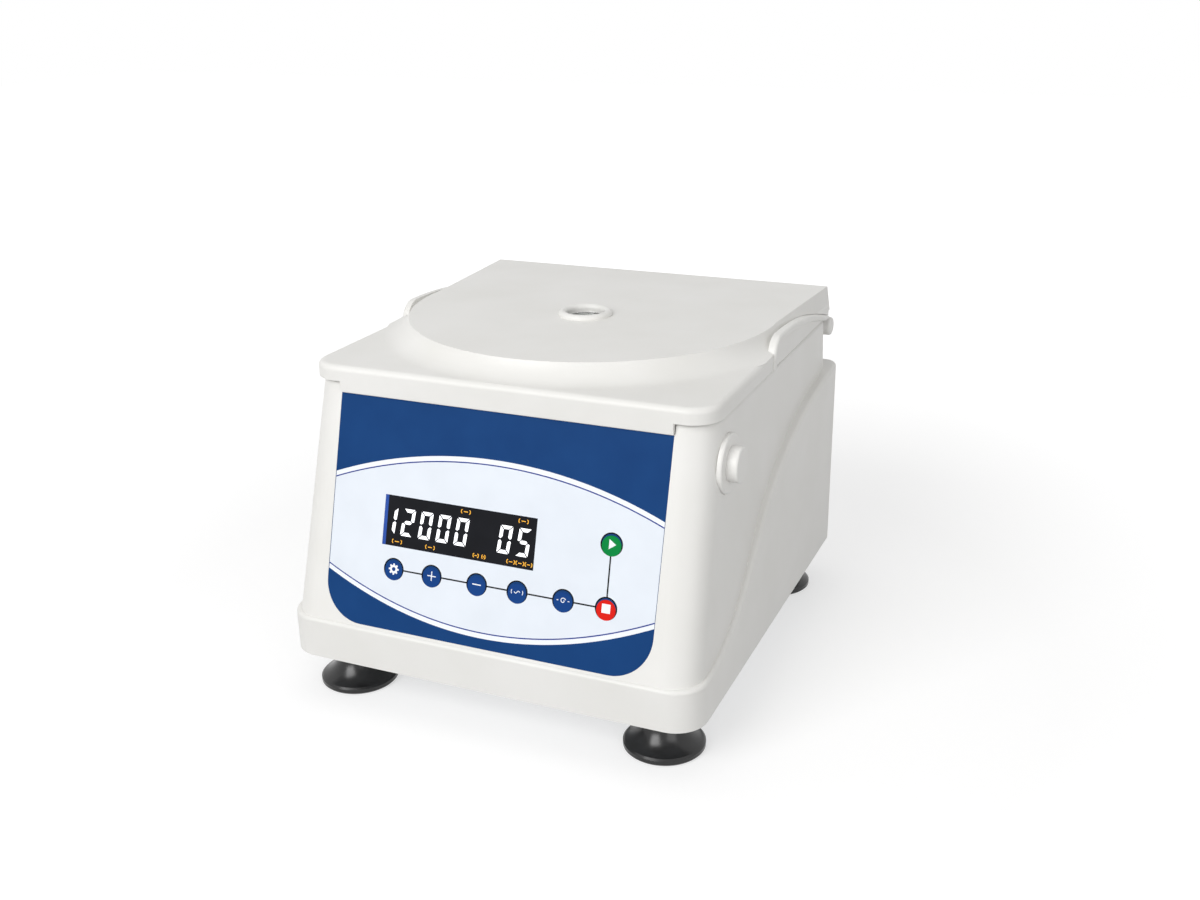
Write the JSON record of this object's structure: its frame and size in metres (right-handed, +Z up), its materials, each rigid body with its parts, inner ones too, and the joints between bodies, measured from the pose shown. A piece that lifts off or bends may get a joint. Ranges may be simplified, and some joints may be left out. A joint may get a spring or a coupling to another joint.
{
  "type": "hematocrit centrifuge",
  "caption": "Bench hematocrit centrifuge: moulded case with a leaning key panel, hinged lid with a sight port, flat capillary rotor in a steel bowl, side release button.",
  "frame": {"origin": "on the bench, under the middle of the case", "axes": "+Z up, -Y the front with the key panel, +X the user's right"},
  "size_m": [0.303, 0.33, 0.244],
  "materials": {
    "housing": "moulded off-white ABS, satin",
    "liner": "off-white sheet",
    "zinc_sheet": "zinc-plated sheet steel",
    "zinc_screws": "zinc-plated",
    "rubber": "smooth black rubber",
    "panel_film": "printed polyester film, blue with a pale lens",
    "display_window": "smoked window over white digits",
    "black_plastic": "moulded black",
    "blue_key": "printed film key",
    "red_key": "printed film key",
    "green_key": "printed film key",
    "circuit_board": "green solder mask",
    "stainless": "spun stainless",
    "painted_steel": "dark paint",
    "cast_aluminium": "cast",
    "steel": "plain steel",
    "polished_steel": "polished",
    "rotor_plastic": "sage green moulding",
    "clear_window": "clear acrylic"
  },
  "bodies": {
    "base": {"base_plate": "zinc_sheet", "base_screws": "zinc_screws", "board_standoffs": "black_plastic", "button_bezel": "housing", "button_spring": "steel", "catch_bracket": "zinc_sheet", "catch_spring": "steel", "chamber_bowl": "stainless", "control_board": "circuit_board", "display_module": "black_plastic", "display_window": "display_window", "dome_switches": "steel", "foot_front_left": "rubber", "foot_front_right": "rubber", "foot_rear_left": "rubber", "foot_rear_right": "rubber", "foot_studs": "zinc_screws", "front_panel": "panel_film", "guard_ring": "painted_steel", "hinge_base_left": "housing", "hinge_base_right": "housing", "hinge_pins": "steel", "housing_shell": "housing", "interlock_switch": "black_plastic", "lower_bearing": "steel", "motor_body": "cast_aluminium", "motor_plate": "zinc_sheet", "motor_stator": "painted_steel", "mount_posts": "zinc_sheet", "power_board": "circuit_board", "power_inlet": "black_plastic", "power_switch_body": "black_plastic", "rubber_mounts": "rubber", "upper_bearing": "steel"},
    "lid": {"lid_shell": "housing", "lid_liner": "liner", "lid_gasket": "rubber", "sight_ring": "housing", "sight_window": "clear_window", "side_arch_left": "housing", "side_arch_right": "housing", "liner_screws": "zinc_screws", "lid_hinge_left": "housing", "lid_hinge_right": "housing", "lid_striker": "steel"},
    "rotor": {"motor_shaft": "steel", "motor_core": "steel", "rotor_plate": "rotor_plastic", "rotor_gasket": "rubber"},
    "rotor_washer": {"rotor_washer": "steel"},
    "rotor_nut": {"rotor_nut": "polished_steel"},
    "release_button": {"release_button": "housing"},
    "power_rocker": {"power_rocker": "black_plastic"},
    "key_minus": {"key_minus": "blue_key"},
    "key_plus": {"key_plus": "blue_key"},
    "key_pulse": {"key_pulse": "blue_key"},
    "key_ramp": {"key_ramp": "blue_key"},
    "key_settings": {"key_settings": "blue_key"},
    "key_start": {"key_start": "green_key"},
    "key_stop": {"key_stop": "red_key"}
  },
  "joints": [
    {"name": "lid_hinge", "type": "hinge", "parent": "base", "child": "lid", "pos_m": [0, 0.1575, 0.209], "axis": [-1, 0, 0], "range_deg": [0, 85], "deforming": ["catch_spring"]},
    {"name": "rotor_spin", "type": "hinge", "parent": "base", "child": "rotor", "pos_m": [0, 0.016, 0.18], "axis": [0, 0, 1], "continuous": true},
    {"name": "nut_lift", "type": "slide", "parent": "rotor", "child": "rotor_washer", "axis": [0, 0, 1], "range_m": [0, 0.0025]},
    {"name": "nut_turn", "type": "hinge", "parent": "rotor_washer", "child": "rotor_nut", "pos_m": [0, 0.016, 0.19], "axis": [0, 0, 1], "range_deg": [0, 720]},
    {"name": "release_press", "type": "slide", "parent": "base", "child": "release_button", "axis": [-1, 0, 0], "range_m": [0, 0.004], "stiffness_N_per_m": 1000, "deforming": ["button_spring", "catch_spring"]},
    {"name": "rocker_tilt", "type": "hinge", "parent": "base", "child": "power_rocker", "pos_m": [-0.052, 0.159, 0.078], "axis": [1, 0, 0], "range_deg": [-8, 8]},
    {"name": "key_minus_press", "type": "slide", "parent": "base", "child": "key_minus", "axis": [0, 0.9608, -0.2772], "range_m": [0, 0.0004], "stiffness_N_per_m": 1000},
    {"name": "key_plus_press", "type": "slide", "parent": "base", "child": "key_plus", "axis": [0, 0.9608, -0.2772], "range_m": [0, 0.0004], "stiffness_N_per_m": 1000},
    {"name": "key_pulse_press", "type": "slide", "parent": "base", "child": "key_pulse", "axis": [0, 0.9608, -0.2772], "range_m": [0, 0.0004], "stiffness_N_per_m": 1000},
    {"name": "key_ramp_press", "type": "slide", "parent": "base", "child": "key_ramp", "axis": [0, 0.9608, -0.2772], "range_m": [0, 0.0004], "stiffness_N_per_m": 1000},
    {"name": "key_settings_press", "type": "slide", "parent": "base", "child": "key_settings", "axis": [0, 0.9608, -0.2772], "range_m": [0, 0.0004], "stiffness_N_per_m": 1000},
    {"name": "key_start_press", "type": "slide", "parent": "base", "child": "key_start", "axis": [0, 0.9608, -0.2772], "range_m": [0, 0.0004], "stiffness_N_per_m": 1000},
    {"name": "key_stop_press", "type": "slide", "parent": "base", "child": "key_stop", "axis": [0, 0.9608, -0.2772], "range_m": [0, 0.0004], "stiffness_N_per_m": 1000}
  ],
  "couplings": [
    {"joint": "nut_turn", "follows": "nut_lift", "rad_per_m": 5026.5}
  ]
}
